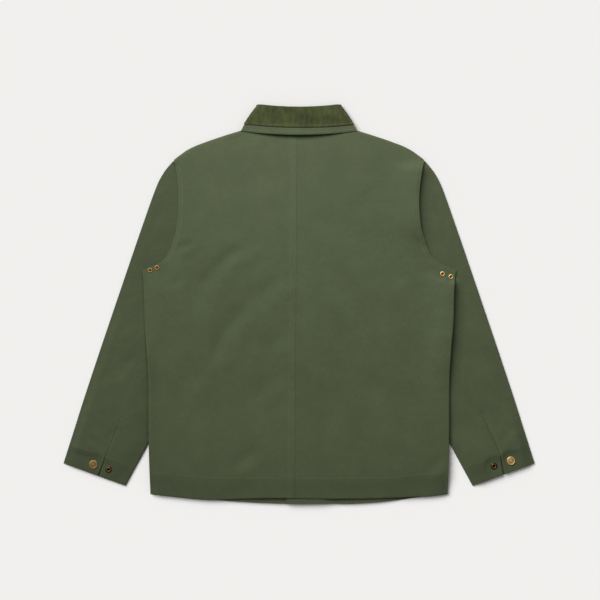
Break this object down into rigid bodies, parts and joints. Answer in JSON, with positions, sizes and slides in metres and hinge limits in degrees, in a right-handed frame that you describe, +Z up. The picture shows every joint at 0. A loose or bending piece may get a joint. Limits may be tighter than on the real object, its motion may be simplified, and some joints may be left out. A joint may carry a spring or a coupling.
{
  "type": "shirt jacket laid flat on its front",
  "caption": "Collared twill shirt jacket laid flat on its front, sleeves drawn down, with a corduroy-faced collar, snap cuffs and underarm eyelets.",
  "frame": {"origin": "centre of the footprint, on the surface that the jacket lies on", "axes": "+Z up off the surface, +Y up the jacket towards its collar, +X towards the wearer's right sleeve"},
  "size_m": [0.919, 0.7784, 0.0133],
  "materials": {
    "twill": "olive cotton twill, brushed and matt",
    "corduroy": "fine-wale olive corduroy with a soft nap",
    "brass": "satin brass",
    "antique_brown": "brass with a dark antique-brown patina"
  },
  "bodies": {
    "root": {"back_left": "twill", "back_right": "twill", "front_left": "twill", "front_right": "twill", "sleeve_top_left": "twill", "sleeve_top_right": "twill", "sleeve_under_left": "twill", "sleeve_under_right": "twill", "cuff_underlap_left": "twill", "cuff_underlap_right": "twill", "collar_fall": "twill", "collar_corduroy": "corduroy", "collar_stand": "twill", "collar_leaf_left": "corduroy", "collar_leaf_right": "corduroy", "eyelet_left_outer": "brass", "eyelet_left_inner": "brass", "eyelet_right_outer": "brass", "eyelet_right_inner": "brass", "snap_cap_left": "brass", "snap_cap_right": "brass", "snap_stud_left": "antique_brown", "snap_stud_right": "antique_brown", "front_snap_1": "antique_brown", "front_snap_2": "antique_brown", "front_snap_3": "antique_brown", "front_snap_4": "antique_brown", "front_snap_5": "antique_brown"}
  },
  "joints": []
}
